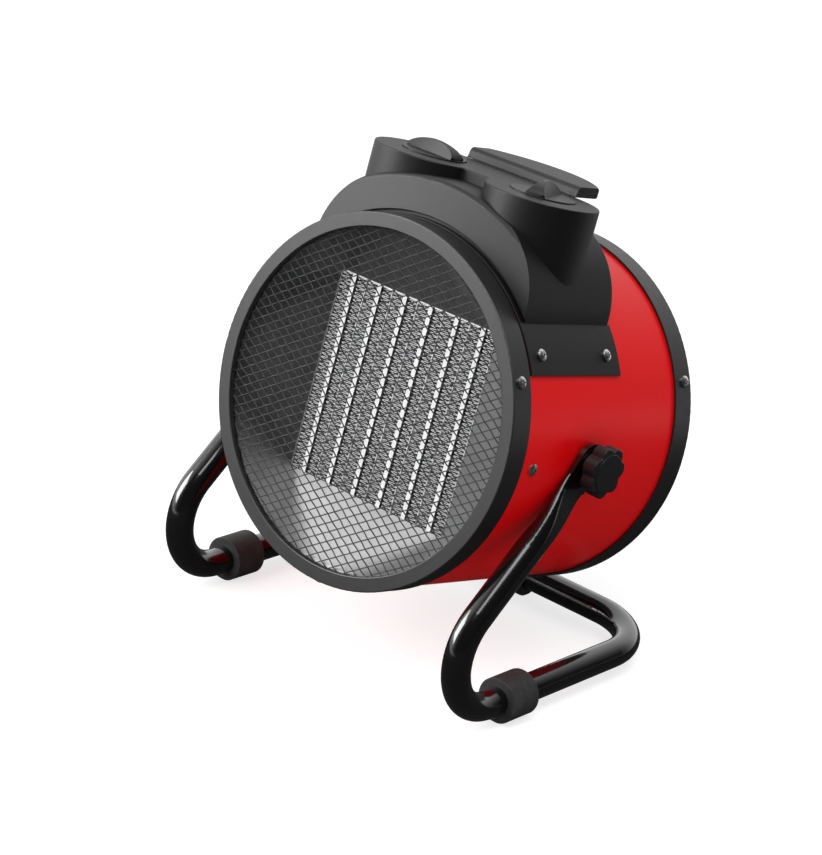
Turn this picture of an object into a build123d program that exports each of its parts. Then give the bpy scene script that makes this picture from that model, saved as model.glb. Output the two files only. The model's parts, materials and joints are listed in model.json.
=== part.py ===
from build123d import *
from math import acos, atan2, cos, degrees, hypot, radians, sin, sqrt
import os

# Forced air heater: a round steel drum with a ceramic element behind a mesh, a control
# housing with two knobs and a grip lip on its back, and a bent tube stand that it tilts in.
# Millimetres, +Z up.  The origin is on the floor, in the middle of the outline.

# ---- drum -----------------------------------------------------------------------------
shell_r = 98.5          # outside of the painted sheet drum
shell_wall = 1.0
ring_fit = 0.1          # drum to trim ring
ring_wall = 1.4         # trim ring band
ring_face = 2.8         # thickness of a trim ring's face
ring_face_w = 8.2       # how far a ring's face reaches in
front_band = 14.7
rear_band = 15.3
body_len = 164.0
nose_up = 10.66         # the drum's front is tipped up by this much at rest

# ---- stand ----------------------------------------------------------------------------
tube_r = 7.8
tube_wall = 1.2
rail_out = 3.5          # centre of each rail and leg, outside the drum
pivot_back = 72.5       # pivot behind the drum's front face
pivot_over_rail = 124.4
bend_ahead = 55.95      # centre of the front bend, ahead of the pivot
bend_r = 32.0
cross_past = 0.15       # rear cross tube behind the drum's end, as the drum lies level
corner_r = 40.0
strap_play = 0.15       # washer to the flattened leg end
strap_t = 3.0
ear_r = 12.0
flat_w = 20.0           # width of the leg where it is pressed flat
flat_len = 13.0         # flattened length below the pivot
press_len = 47.0        # flat changes to round over this length
press_steps = 6
press_fit = 0.02        # keeps a short straight side on each pressed section
sleeve_r = 12.6
sleeve_len = 20.5
sleeve_ahead = 48.5     # front end of the front sleeves, ahead of the pivot
foot_flat = 0.4
sleeve_fit = 0.05
sleeve_edge = 0.5

# ---- clamp knobs ----------------------------------------------------------------------
stud_r = 3.0
thread_fit = 0.05
stud_hole_fit = 0.3
stud_len = 24.0
star_r = 14.25
star_lobe_r = 4.9
star_lobes = 7
star_turn = 10.0
star_valley = 1.5
star_edge = 0.8
star_thick = 7.6
star_face_r = 10.6      # raised disc on the knob's face
star_face_h = 0.5
star_neck_r = 8.0
star_neck_len = 3.6
star_bore = 6.9
star_gap = 0.4
insert_r = 10.0
insert_t = 4.6
insert_neck_r = 5.5
washer_r = 10.0
washer_t = 0.45
washer_gap = 0.2

# ---- front air path and element -------------------------------------------------------
grille_play = 0.3
grille_t = 1.2
mesh_pitch = 9.7
mesh_strand = 1.5
mesh_angle = 33.0
seat_gap = 0.1
duct_sheet = 0.8
duct_tuck = 1.2         # the duct's mouth stands behind the ring's face
duct_play = 0.5         # duct flange to the ends of the ring's screws
duct_corner = 3.0
core_w = 110.4
core_h = 113.0
core_front = 26.4
core_depth = 15.0
strip_first = 9.3       # first ceramic strip, from the core's left edge
strip_last = 10.0       # last ceramic strip, from the core's right edge
strip_w = 2.8
strips = 6
spacer_w = 0.5
fin_gap = 0.15
fin_pitch = 3.5
fin_sheet = 1.2
frame_side = 2.6
frame_bar = 4.0
frame_gap = 0.2
bracket_sheet = 1.2
bracket_w = 18.0
cutout_r = 6.0
cutout_h = 5.0
cutout_x = 22.0
cutout_plate_w = 24.0
cutout_plate_d = 10.0
cutout_hole_r = 1.6
cutout_hole_x = 9.0

# ---- fan ------------------------------------------------------------------------------
fan_front = 84.0
fan_hub_r = 15.0
fan_hub_len = 16.0
fan_tip_gap = 11.5
fan_blades = 7
blade_t = 1.8
blade_root = 15.0
blade_tip = 40.0
pitch_root = 42.0
pitch_tip = 26.0
motor_r = 28.0
motor_front = 112.0
motor_len = 34.0
plate_t = 2.0
arm_w = 14.0
tab_len = 12.0
shaft_r = 2.5
shaft_fit = 0.05
shaft_tail = 24.0
hub_cap = 3.0

# ---- control housing ------------------------------------------------------------------
arch_half = 73.5
arch_rise = 23.0        # top of the housing over the drum
arch_corner = 46.0
arch_front = 18.3
arch_rear = 96.4
groove_rear = 20.3      # groove between the flange's rim and the rounded front
dome_rise = 3.4
dome_lean = 2.8
dome_round = 3.0
dome_edge = 0.4
dome_over = 0.05        # the rounded front ends just outside the housing's top
wall = 2.6
top_rise = 29.0         # panel over the drum
tower_x = 39.0
tower_y = 54.0
tower_r = 31.0
plate_thick = 6.0
bridge_front = 46.0
bridge_half = 33.0
plan_round = 1.5
saddle_gap = 0.15
flange_t = 1.5
flange_arc = 16.0       # each side flange, in degrees
flange_tuck = 1.2       # overlap with the housing's wall, in degrees
flange_front = 16.3
flange_edge = 0.4
rear_round = 3.0
top_round = 0.7
knob_x = 37.8
knob_y = 55.8
knob_r = 17.7
knob_gap = 0.4
knob_proud = 0.7        # the disc stands over the panel by this much
knob_edge = 0.3
recess = 3.0
floor_gap = 0.2
grip_rim = 0.8          # disc left free outside the grip's ends
grip_h = 7.7            # crest over the panel
grip_foot_w = 9.0       # grip at its foot, half way along
grip_ridge_w = 2.2
grip_end_w = 12.0
scoop_r = 90.0          # hollow in each flank of the grip
grip_edge = 0.5
left_turn = -2.0
right_turn = -69.0
dial_shaft_r = 3.0
dial_shaft_up = 0.5
dial_depth = 17.0
switch_w = 30.0
switch_h = 18.0
lip_half = 38.0
lip_front = 84.5
lip_toe = 0.3
lip_cove = 0.8
lip_lean = 1.2
lip_round = 3.4
peg_back = 7.0          # peg behind the lip's front
lip_side = 105.0
lip_rear = 123.0
lip_rise = 5.8
lip_edge = 1.2
peg_r = 3.0
peg_len = 4.0
peg_x = 24.0
peg_fit = 0.05
gland_x = -48.0
gland_rise = 12.5
gland_bore_r = 4.0
gland_neck_r = 6.5
gland_flange_r = 8.5
gland_flange_t = 2.5
gland_tail = 11.0
gland_in = 9.0
gland_fit = 0.1
block_w = 26.0
block_d = 15.0
block_h = 11.0
block_y = 74.0
wire_hole_r = 8.0
wire_hole_y = 60.0

# ---- screws ---------------------------------------------------------------------------
head_r = 3.3
head_h = 2.1
head_side = 0.9
screw_r = 1.7
screw_len = 5.0
screw_gap = 0.03
hole_r = 1.85
drive_w = 0.7
drive_l = 3.4
drive_d = 0.9
ring_screw_angles = (25.0, 155.0, 270.0)
front_screw_y = 6.6
rear_screw_ahead = 6.8   # ahead of the drum's rear end
flange_screw_up = 6.1    # over the flange's lower edge, in degrees
flange_screw_y = (27.2, 85.5)
side_screw_y = 25.7
side_screw_angle = -1.2

# ---- derived places -------------------------------------------------------------------
os.makedirs("parts", exist_ok=True)
s_up, c_up = sin(radians(nose_up)), cos(radians(nose_up))
ring_r = shell_r + ring_fit + ring_wall
ring_open_r = ring_r - ring_face_w
grille_r = shell_r - shell_wall - grille_play
duct_r = ring_open_r + duct_tuck
duct_flange_r = ring_r - screw_len - duct_play
fan_tip_r = shell_r - shell_wall - fan_tip_gap
arch_r = shell_r + arch_rise
dome_r = shell_r + dome_rise
top_z = shell_r + top_rise
lip_top = top_z + lip_rise
gland_z = sqrt(shell_r ** 2 - gland_x ** 2) + gland_rise
flange_high = degrees(acos(arch_half / (shell_r + saddle_gap))) + flange_tuck
flange_low = flange_high - flange_arc
flange_screw_angle = flange_low + flange_screw_up
strip_pitch = (core_w - strip_first - strip_last) / (strips - 1)
rail_x = shell_r + rail_out
strap_in = shell_r + washer_gap + washer_t + strap_play
rail_z = sleeve_r - foot_flat
pivot_z = rail_z + pivot_over_rail
rear_screw_y = body_len - rear_screw_ahead
cross_behind = body_len - pivot_back + cross_past
reach_front = bend_ahead + bend_r + tube_r
reach_rear = max((body_len - pivot_back) * c_up + ring_r * s_up,
                 cross_behind + sleeve_r)
pivot_y = (reach_front - reach_rear) / 2
front_y = pivot_y - pivot_back * c_up
front_z = pivot_z + pivot_back * s_up
rearward = Vector(0, c_up, -s_up)
upward = Vector(0, s_up, c_up)


def spot(x, y, z):
    """A point given in the drum's own directions: right, back from the front face, up."""
    return Vector(x, front_y + y * c_up + z * s_up, front_z - y * s_up + z * c_up)


def across(y):
    """Plane square to the drum's axis, y behind the front face, facing forward."""
    return Plane(origin=spot(0, y, 0), x_dir=(1, 0, 0), z_dir=-rearward)


def above(z):
    """Plane along the drum, z over its axis, facing up; local y runs back."""
    return Plane(origin=spot(0, 0, z), x_dir=(1, 0, 0), z_dir=upward)


def beside(x):
    """Plane along the drum at x, facing right; local x runs back, local y up."""
    return Plane(origin=spot(x, 0, 0), x_dir=rearward, z_dir=(1, 0, 0))


def outward(y, r, angle):
    """Plane facing out of the drum at that distance, radius and angle."""
    a = radians(angle)
    return Plane(origin=spot(r * cos(a), y, r * sin(a)), x_dir=rearward,
                 z_dir=Vector(cos(a), 0, 0) + upward * sin(a))


drum_axis = Axis(spot(0, 0, 0), rearward)


def save(piece, name):
    piece.part.label = name
    export_step(piece.part, f"parts/{name}.step")


def screw_at(place):
    """A pan head with a cross recess on the given plane, its shank going in."""
    side = Plane(origin=place.origin, x_dir=place.x_dir, z_dir=-place.y_dir)
    ball = (head_r ** 2 + (head_h - head_side) ** 2) / (2 * (head_h - head_side))
    crown = head_h - ball + sqrt(ball ** 2 - head_r ** 2 / 4)
    with BuildPart() as one:
        with BuildSketch(side):
            with BuildLine():
                Line((0, -screw_len), (screw_r, -screw_len))
                Line((screw_r, -screw_len), (screw_r, screw_gap))
                Line((screw_r, screw_gap), (head_r, screw_gap))
                Line((head_r, screw_gap), (head_r, head_side))
                ThreePointArc((head_r, head_side), (head_r / 2, crown), (0, head_h))
                Line((0, head_h), (0, -screw_len))
            make_face()
        revolve(axis=Axis(place.origin, place.z_dir))
        with BuildSketch(place.offset(head_h)):
            Rectangle(drive_l, drive_w)
            Rectangle(drive_w, drive_l)
        extrude(amount=-drive_d, mode=Mode.SUBTRACT)
    return one.part


ring_places = [outward(y, ring_r, a) for y in (front_screw_y, rear_screw_y)
               for a in ring_screw_angles]
flange_r = shell_r + saddle_gap + flange_t
flange_places = [outward(y, flange_r, a) for y in flange_screw_y
                 for a in (flange_screw_angle, 180 - flange_screw_angle)]
side_places = [outward(side_screw_y, shell_r, a)
               for a in (side_screw_angle, 180 - side_screw_angle)]

# ---- drum shell -----------------------------------------------------------------------
shell_front = ring_face + seat_gap
shell_rear = body_len - ring_face - seat_gap
with BuildPart() as body_shell:
    with BuildSketch(across(shell_rear)):
        Circle(shell_r)
        Circle(shell_r - shell_wall, mode=Mode.SUBTRACT)
    extrude(amount=shell_rear - shell_front)
    for place in ring_places + flange_places + side_places:
        with BuildSketch(place):
            Circle(hole_r)
        extrude(amount=-screw_len, mode=Mode.SUBTRACT)
    with BuildSketch(beside(0)):
        with Locations((pivot_back, 0)):
            Circle(insert_neck_r + ring_fit)
    extrude(amount=shell_r, both=True, mode=Mode.SUBTRACT)
    with BuildSketch(above(shell_r + shell_wall)):
        with Locations((0, wire_hole_y)):
            Circle(wire_hole_r)
    extrude(amount=-3 * shell_wall, mode=Mode.SUBTRACT)
save(body_shell, "body_shell")

# ---- trim rings -----------------------------------------------------------------------
band_in = shell_r + ring_fit


def trim_ring(face_from, face_to, band_from, band_to, outer_y, places):
    with BuildPart() as ring:
        with BuildSketch(beside(0)):
            with Locations(((face_from + face_to) / 2, (ring_open_r + ring_r) / 2)):
                Rectangle(face_to - face_from, ring_r - ring_open_r)
            with Locations(((band_from + band_to) / 2, (band_in + ring_r) / 2)):
                Rectangle(band_to - band_from, ring_r - band_in)
        revolve(axis=drum_axis)
        rims = ring.edges().filter_by(GeomType.CIRCLE).filter_by(
            lambda e: abs((e.arc_center - spot(0, outer_y, 0)).length) < 0.01)
        fillet(rims, ring_wall / 2)
        for place in places:
            with BuildSketch(place):
                Circle(hole_r)
            extrude(amount=-screw_len, mode=Mode.SUBTRACT)
    return ring


front_ring = trim_ring(0, ring_face, 0, front_band, 0, ring_places[:3])
save(front_ring, "front_ring")
rear_ring = trim_ring(body_len - ring_face, body_len, body_len - rear_band, body_len,
                      body_len, ring_places[3:])
save(rear_ring, "rear_ring")


# ---- mesh guards ----------------------------------------------------------------------
def mesh_guard(y):
    """A punched sheet disc: diamond gaps with the long diagonal level."""
    span = radians(2 * mesh_angle)
    step = mesh_pitch / sin(span)
    half = (mesh_pitch - mesh_strand) / sin(span)
    sx, sz = cos(radians(mesh_angle)), sin(radians(mesh_angle))
    reach = int(2 * grille_r / step)
    spots = []
    for i in range(-reach, reach + 1):
        for j in range(-reach, reach + 1):
            x, z = (i + j) * step * sx, (i - j) * step * sz
            corner = max(hypot(abs(x) + half * sx, z), hypot(x, abs(z) + half * sz))
            if corner < ring_open_r:
                spots.append((x, z))
    print("mesh gaps", len(spots))
    with BuildPart() as guard:
        with BuildSketch(across(y)):
            Circle(grille_r)
            with Locations(*spots):
                Polygon((half * sx, 0), (0, half * sz), (-half * sx, 0), (0, -half * sz),
                        mode=Mode.SUBTRACT)
        extrude(amount=grille_t)
    return guard


front_grille = mesh_guard(shell_front + grille_t)
save(front_grille, "front_grille")
rear_grille = mesh_guard(shell_rear)
save(rear_grille, "rear_grille")

# ---- square-to-round air duct ---------------------------------------------------------
duct_front = shell_front + grille_t + seat_gap
duct_rear = core_front - seat_gap
duct_slope = duct_rear - duct_front
with BuildPart() as air_duct:
    with BuildSketch(across(duct_rear)):
        RectangleRounded(core_w + 2 * duct_sheet, core_h + 2 * duct_sheet, duct_corner)
    with BuildSketch(across(duct_front)):
        RectangleRounded(2 * duct_r, 2 * duct_r, duct_r - 0.05)
    loft()
    with BuildSketch(across(duct_front + duct_sheet)):
        Circle(duct_flange_r)
    extrude(amount=duct_sheet)
    with BuildSketch(across(duct_rear)):
        RectangleRounded(core_w, core_h, duct_corner - duct_sheet)
    with BuildSketch(across(duct_front)):
        RectangleRounded(2 * duct_r - 3 * duct_sheet, 2 * duct_r - 3 * duct_sheet,
                         duct_r - 1.5 * duct_sheet - 0.05)
    loft(mode=Mode.SUBTRACT)
save(air_duct, "air_duct")

# ---- ceramic heating element ----------------------------------------------------------
core_rear = core_front + core_depth
in_w, in_h = core_w + 2 * frame_gap, core_h + 2 * frame_gap
frame_w, frame_h = in_w + 2 * frame_side, in_h + 2 * frame_bar
with BuildPart() as heater_frame:
    with BuildSketch(across(core_rear)):
        Rectangle(frame_w, frame_h)
        Rectangle(in_w, in_h, mode=Mode.SUBTRACT)
    extrude(amount=core_depth)
save(heater_frame, "heater_frame")

strip_at = [-core_w / 2 + strip_first + k * strip_pitch for k in range(strips)]
spacer_at = [x + strip_pitch / 2 for x in strip_at]
with BuildPart() as ceramic_strips:
    with BuildSketch(across(core_rear)):
        with Locations(*[(x, 0) for x in strip_at]):
            Rectangle(strip_w, core_h)
    extrude(amount=core_depth)
save(ceramic_strips, "ceramic_strips")

with BuildPart() as core_spacers:
    with BuildSketch(across(core_rear)):
        with Locations(*[(x, 0) for x in spacer_at]):
            Rectangle(spacer_w, core_h)
    extrude(amount=core_depth)
save(core_spacers, "core_spacers")

# each fin column is a pleated ribbon between a strip and a spacer
edges_x = sorted([-core_w / 2 - strip_w / 2, core_w / 2 + strip_w / 2] + strip_at + spacer_at)
pleats = int(core_h / fin_pitch)
with BuildPart() as heating_fins:
    with BuildSketch(across(core_rear)):
        for a, b in zip(edges_x[:-1], edges_x[1:]):
            left = a + (spacer_w if a in spacer_at else strip_w) / 2 + fin_gap
            right = b - (spacer_w if b in spacer_at else strip_w) / 2 - fin_gap
            if right - left < 2 * fin_sheet:
                continue
            z0 = -pleats * fin_pitch / 2
            rise = [(left if k % 2 == 0 else right - fin_sheet, z0 + k * fin_pitch / 2)
                    for k in range(2 * pleats + 1)]
            back = [(x + fin_sheet, z) for x, z in reversed(rise)]
            with BuildLine():
                Polyline(*rise, *back, close=True)
            make_face()
    extrude(amount=core_depth - 1)
save(heating_fins, "heating_fins")

# Z-shaped brackets carry the element from the drum's sides
foot_x = shell_r - shell_wall - 4 * ring_fit
with BuildPart() as core_brackets:
    for sign in (1, -1):
        near, far = frame_w / 2 + seat_gap, foot_x
        y0, y1 = core_front + 4, side_screw_y - 6
        with BuildSketch(above(-bracket_w / 2)):
            with BuildLine():
                Polyline((sign * near, core_rear - 1), (sign * near, y0),
                         (sign * (far - bracket_sheet), y0), (sign * (far - bracket_sheet), y1),
                         (sign * far, y1), (sign * far, y0 + bracket_sheet),
                         (sign * (near + bracket_sheet), y0 + bracket_sheet),
                         (sign * (near + bracket_sheet), core_rear - 1), close=True)
            make_face()
        extrude(amount=bracket_w)
    with BuildSketch(across(0)):
        Circle(foot_x)
    extrude(amount=-body_len / 2, mode=Mode.INTERSECT)
    for place in side_places:
        with BuildSketch(place):
            Circle(hole_r)
        extrude(amount=-screw_len, mode=Mode.SUBTRACT)
save(core_brackets, "core_brackets")

with BuildPart() as thermal_cutout:
    with BuildSketch(above(frame_h / 2 + seat_gap)):
        with Locations((cutout_x, core_front + core_depth / 2)):
            Rectangle(cutout_plate_w, cutout_plate_d)
            with Locations((cutout_hole_x, 0), (-cutout_hole_x, 0)):
                Circle(cutout_hole_r, mode=Mode.SUBTRACT)
    extrude(amount=1)
    with BuildSketch(above(frame_h / 2 + seat_gap)):
        with Locations((cutout_x, core_front + core_depth / 2)):
            Circle(cutout_r)
    extrude(amount=cutout_h)
save(thermal_cutout, "thermal_cutout")

# ---- fan and motor --------------------------------------------------------------------
motor_rear = motor_front + motor_len
with BuildPart() as motor_bracket:
    with BuildSketch(across(motor_front - seat_gap)):
        Circle(motor_r + 3)
        with PolarLocations(shell_r / 2, 3, start_angle=90):
            Rectangle(shell_r, arm_w)
        Circle(foot_x, mode=Mode.INTERSECT)
        Circle(shaft_r * 3, mode=Mode.SUBTRACT)
    extrude(amount=plate_t)
    with BuildSketch(across(motor_front + tab_len)):
        with PolarLocations(shell_r * 0.9, 3, start_angle=90):
            Rectangle(shell_r / 2, arm_w)
        Circle(foot_x, mode=Mode.INTERSECT)
        Circle(foot_x - bracket_sheet, mode=Mode.SUBTRACT)
    extrude(amount=tab_len + plate_t)
save(motor_bracket, "motor_bracket")

with BuildPart() as motor_can:
    with BuildSketch(across(motor_rear)):
        Circle(motor_r)
    extrude(amount=motor_len)
    fillet(motor_can.edges().sort_by(drum_axis)[-1], 4)
    with BuildSketch(across(motor_rear + 3)):
        Circle(motor_r / 3)
    extrude(amount=3)
    with BuildSketch(across(motor_front + shaft_tail + 1)):
        Circle(shaft_r + shaft_fit)
    extrude(amount=shaft_tail + 1, mode=Mode.SUBTRACT)
save(motor_can, "motor_can")

with BuildPart() as motor_shaft:
    with BuildSketch(across(motor_front + shaft_tail)):
        Circle(shaft_r)
    extrude(amount=motor_front + shaft_tail - fan_front - hub_cap - floor_gap)
save(motor_shaft, "motor_shaft")

# one blade in its own frame: the hub axis is Z, the blade reaches along X
with BuildPart() as blade:
    for r, chord, pitch in ((fan_hub_r - 2, blade_root, pitch_root), (fan_tip_r, blade_tip, pitch_tip)):
        with BuildSketch(Plane(origin=(r, 0, 0), x_dir=(0, 1, 0), z_dir=(1, 0, 0))):
            Rectangle(chord, blade_t, rotation=pitch)
    loft()
    with BuildSketch(Plane.XY):
        Circle(fan_tip_r)
    extrude(amount=fan_tip_r, both=True, mode=Mode.INTERSECT)

with BuildPart() as fan_impeller:
    with BuildSketch(across(fan_front + fan_hub_len)):
        Circle(fan_hub_r)
    extrude(amount=fan_hub_len)
    fillet(fan_impeller.edges().sort_by(drum_axis)[0], 3)
    with Locations(across(fan_front + fan_hub_len / 2)):
        with PolarLocations(0, fan_blades):
            add(blade.part)
    with BuildSketch(across(fan_front + fan_hub_len)):
        Circle(shaft_r + shaft_fit)
    extrude(amount=fan_hub_len - hub_cap, mode=Mode.SUBTRACT)
save(fan_impeller, "fan_impeller")


# ---- control housing ------------------------------------------------------------------
def arch_face(inset):
    """The housing's cross-section, with its wall moved in by inset."""
    half, top, corner = arch_half - inset, arch_r - inset, arch_corner - inset
    cx = half - corner
    cz = sqrt((top - corner) ** 2 - cx ** 2)
    a = atan2(cz, cx)
    knee = (top * cos(a), top * sin(a))
    mid = (cx + corner * cos(a / 2), cz + corner * sin(a / 2))
    with BuildSketch() as face:
        with BuildLine():
            Line((half, 0), (half, cz))
            ThreePointArc((half, cz), mid, knee)
            ThreePointArc(knee, (0, top), (-knee[0], knee[1]))
            ThreePointArc((-knee[0], knee[1]), (-mid[0], mid[1]), (-half, cz))
            Line((-half, cz), (-half, 0))
            Line((-half, 0), (half, 0))
        make_face()
    return face.sketch


def dome_face(points, crest_round):
    """Half section of the rounded front, turned about the drum's axis."""
    with BuildSketch() as face:
        Polygon(*points, align=None)
        crest = face.vertices().group_by(Axis.Y)[-1].sort_by(Axis.X)[0]
        fillet(crest, crest_round)
    return face.sketch


def ring_sector(r0, r1, low, high):
    """The part of a flat ring between two angles."""
    lo, mid, hi = radians(low), radians((low + high) / 2), radians(high)
    with BuildSketch() as sector:
        with BuildLine():
            Line((r0 * cos(lo), r0 * sin(lo)), (r1 * cos(lo), r1 * sin(lo)))
            ThreePointArc((r1 * cos(lo), r1 * sin(lo)), (r1 * cos(mid), r1 * sin(mid)),
                          (r1 * cos(hi), r1 * sin(hi)))
            Line((r1 * cos(hi), r1 * sin(hi)), (r0 * cos(hi), r0 * sin(hi)))
            ThreePointArc((r0 * cos(hi), r0 * sin(hi)), (r0 * cos(mid), r0 * sin(mid)),
                          (r0 * cos(lo), r0 * sin(lo)))
        make_face()
    return sector.sketch


crest_y, crest_r = arch_front + dome_lean, arch_r + dome_over
inner_front, inner_r = groove_rear + wall, arch_r - wall + dome_over
outer_arch, inner_arch = arch_face(0), arch_face(wall)
outer_dome = dome_face([(groove_rear, 0), (groove_rear, dome_r), (arch_front, dome_r),
                        (crest_y, crest_r), (arch_rear + 1, crest_r), (arch_rear + 1, 0)], dome_round)
inner_dome = dome_face([(inner_front, 0), (inner_front, inner_r), (arch_rear, inner_r),
                        (arch_rear, 0)], dome_round)

with BuildPart() as cavity:
    with BuildSketch(across(arch_rear - wall)):
        add(inner_arch)
    extrude(amount=arch_rear - wall)
    with BuildSketch(beside(0)):
        add(inner_dome)
    revolve(axis=drum_axis, mode=Mode.INTERSECT)
    with BuildSketch(above(top_z - plate_thick)):
        with Locations((tower_x, tower_y), (-tower_x, tower_y)):
            Circle(tower_r - wall)
    extrude(amount=-(top_z - plate_thick - shell_r * 0.6))

with BuildPart() as towers:
    with BuildSketch(above(top_z)) as towers_plan:
        with Locations((tower_x, tower_y), (-tower_x, tower_y)):
            Circle(tower_r)
        with Locations((0, (bridge_front + arch_rear - rear_round) / 2)):
            Rectangle(2 * bridge_half, arch_rear - rear_round - bridge_front)
        fillet(towers_plan.vertices(), plan_round)
    extrude(amount=-(top_z - shell_r * 0.6))
    rim = towers.faces().sort_by(Axis(spot(0, 0, 0), upward))[-1].outer_wire().edges()
    fillet(rim, top_round)

with BuildPart() as control_housing:
    with BuildSketch(across(arch_rear)):
        add(outer_arch)
    extrude(amount=arch_rear)
    with BuildSketch(beside(0)):
        add(outer_dome)
    revolve(axis=drum_axis, mode=Mode.INTERSECT)
    back_rim = control_housing.faces().sort_by(drum_axis)[-1].edges().sort_by(Axis.Z)[1:]
    fillet(back_rim, rear_round)
    toe = control_housing.edges().filter_by(GeomType.CIRCLE).filter_by(
        lambda e: abs(e.radius - dome_r) < ring_fit).sort_by(drum_axis)[0]
    fillet(toe, dome_edge)
    add(towers.part)
    with BuildSketch(across(inner_front)):
        add(ring_sector(shell_r - 1, flange_r, flange_low, 180 - flange_low))
    extrude(amount=inner_front - flange_front)
    with BuildSketch(across(arch_rear)):
        add(ring_sector(shell_r - 1, flange_r, flange_low, flange_high))
        add(ring_sector(shell_r - 1, flange_r, 180 - flange_high, 180 - flange_low))
    extrude(amount=arch_rear - flange_front)
    add(cavity.part, mode=Mode.SUBTRACT)
    with BuildSketch(across(body_len)):
        Circle(shell_r + saddle_gap)
    extrude(amount=body_len, mode=Mode.SUBTRACT)
    front_rim = control_housing.edges().filter_by(GeomType.CIRCLE).filter_by(
        lambda e: abs(e.radius - flange_r) < ring_fit).sort_by(drum_axis)[0]
    fillet(front_rim, flange_edge)
    with BuildSketch(above(top_z)):
        with Locations((knob_x, knob_y), (-knob_x, knob_y)):
            Circle(knob_r + knob_gap)
    extrude(amount=-recess, mode=Mode.SUBTRACT)
    with BuildSketch(above(top_z)):
        with Locations((knob_x, knob_y), (-knob_x, knob_y)):
            Circle(dial_shaft_r + knob_gap)
    extrude(amount=-plate_thick, mode=Mode.SUBTRACT)
    with BuildSketch(above(top_z)):
        with Locations((peg_x, lip_front + peg_back), (-peg_x, lip_front + peg_back)):
            Circle(peg_r + peg_fit)
    extrude(amount=-peg_len - floor_gap, mode=Mode.SUBTRACT)
    for place in flange_places:
        with BuildSketch(place):
            Circle(hole_r)
        extrude(amount=-screw_len, mode=Mode.SUBTRACT)
    with BuildSketch(across(arch_rear + 1)):
        with Locations((gland_x, gland_z)):
            Circle(gland_neck_r + gland_fit)
    extrude(amount=wall + 3, mode=Mode.SUBTRACT)
save(control_housing, "control_housing")

# ---- grip lip behind the knobs --------------------------------------------------------
with BuildPart() as carry_handle:
    with BuildSketch(beside(-lip_half - 1)) as lip_side_view:
        wall_y = lip_front + lip_cove
        Polygon((lip_front, top_z), (lip_front, top_z + lip_toe), (wall_y, top_z + lip_toe),
                (wall_y + lip_lean, lip_top), (lip_rear + 1, lip_top), (lip_rear + 1, top_z),
                align=None)
        brow = lip_side_view.vertices().group_by(Axis.Y)[-1].sort_by(Axis.X)[0]
        fillet(brow, lip_round)
        cove = lip_side_view.vertices().filter_by(lambda v: abs(v.X - wall_y) < lip_toe / 2)
        fillet(cove, lip_cove / 2)
    extrude(amount=2 * lip_half + 2)
    with BuildSketch(above(top_z)):
        with BuildLine():
            Line((-lip_half, lip_side), (-lip_half, lip_front))
            Line((-lip_half, lip_front), (lip_half, lip_front))
            Line((lip_half, lip_front), (lip_half, lip_side))
            ThreePointArc((lip_half, lip_side), (0, lip_rear), (-lip_half, lip_side))
        make_face()
    extrude(amount=lip_top, mode=Mode.INTERSECT)
    back_edge = carry_handle.edges().filter_by(GeomType.CIRCLE).filter_by(
        lambda e: e.radius > lip_half)
    fillet(back_edge, lip_edge)
    with BuildSketch(above(top_z)):
        with Locations((peg_x, lip_front + peg_back), (-peg_x, lip_front + peg_back)):
            Circle(peg_r)
    extrude(amount=-peg_len)
save(carry_handle, "carry_handle")


# ---- dials ----------------------------------------------------------------------------
def dial(x, turn):
    """A disc with a grip bar hollowed on both flanks, on a round shaft."""
    seat = Plane(origin=spot(x, knob_y, top_z),
                 x_dir=Vector(cos(radians(turn)), 0, 0) + rearward * sin(radians(turn)),
                 z_dir=upward)
    side = Plane(origin=seat.origin, x_dir=seat.x_dir, z_dir=-seat.y_dir)
    end_on = Plane(origin=seat.origin, x_dir=seat.y_dir, z_dir=seat.x_dir)
    end = knob_r - grip_rim
    with BuildPart() as grip:
        with BuildSketch(side):
            Ellipse(end, grip_h)
            Rectangle(2 * end, grip_h, align=(Align.CENTER, Align.MIN), mode=Mode.INTERSECT)
        extrude(amount=grip_end_w / 2, both=True)
        for sign in (1, -1):
            hollow = scoop_r + grip_foot_w / 2
            with BuildSketch(end_on):
                Polygon((sign * grip_foot_w / 2, 0), (sign * grip_ridge_w / 2, grip_h),
                        (sign * hollow, grip_h), (sign * hollow, 0), align=None)
            revolve(axis=Axis(seat.origin + seat.y_dir * sign * hollow, seat.z_dir),
                    mode=Mode.SUBTRACT)
        with BuildSketch(seat):
            Circle(end)
        extrude(amount=2 * grip_h, mode=Mode.INTERSECT)
        ridge = grip.edges().filter_by(lambda e: (e.center() - seat.origin).dot(upward) > grip_h / 2)
        fillet(ridge, grip_edge)
    with BuildPart() as knob:
        with BuildSketch(seat.offset(knob_proud)):
            Circle(knob_r)
        extrude(amount=-(knob_proud + recess - floor_gap))
        brim = knob.edges().sort_by(Axis(seat.origin, seat.z_dir))[-1]
        fillet(brim, knob_edge)
        add(grip.part)
        with BuildSketch(seat.offset(-(recess - floor_gap))):
            Circle(dial_shaft_r + thread_fit)
        extrude(amount=recess - floor_gap + dial_shaft_up, mode=Mode.SUBTRACT)
    with BuildPart() as shaft:
        with BuildSketch(seat.offset(dial_shaft_up - floor_gap)):
            Circle(dial_shaft_r)
        extrude(amount=-(dial_shaft_up - floor_gap + plate_thick + dial_depth))
    return knob, shaft


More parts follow.
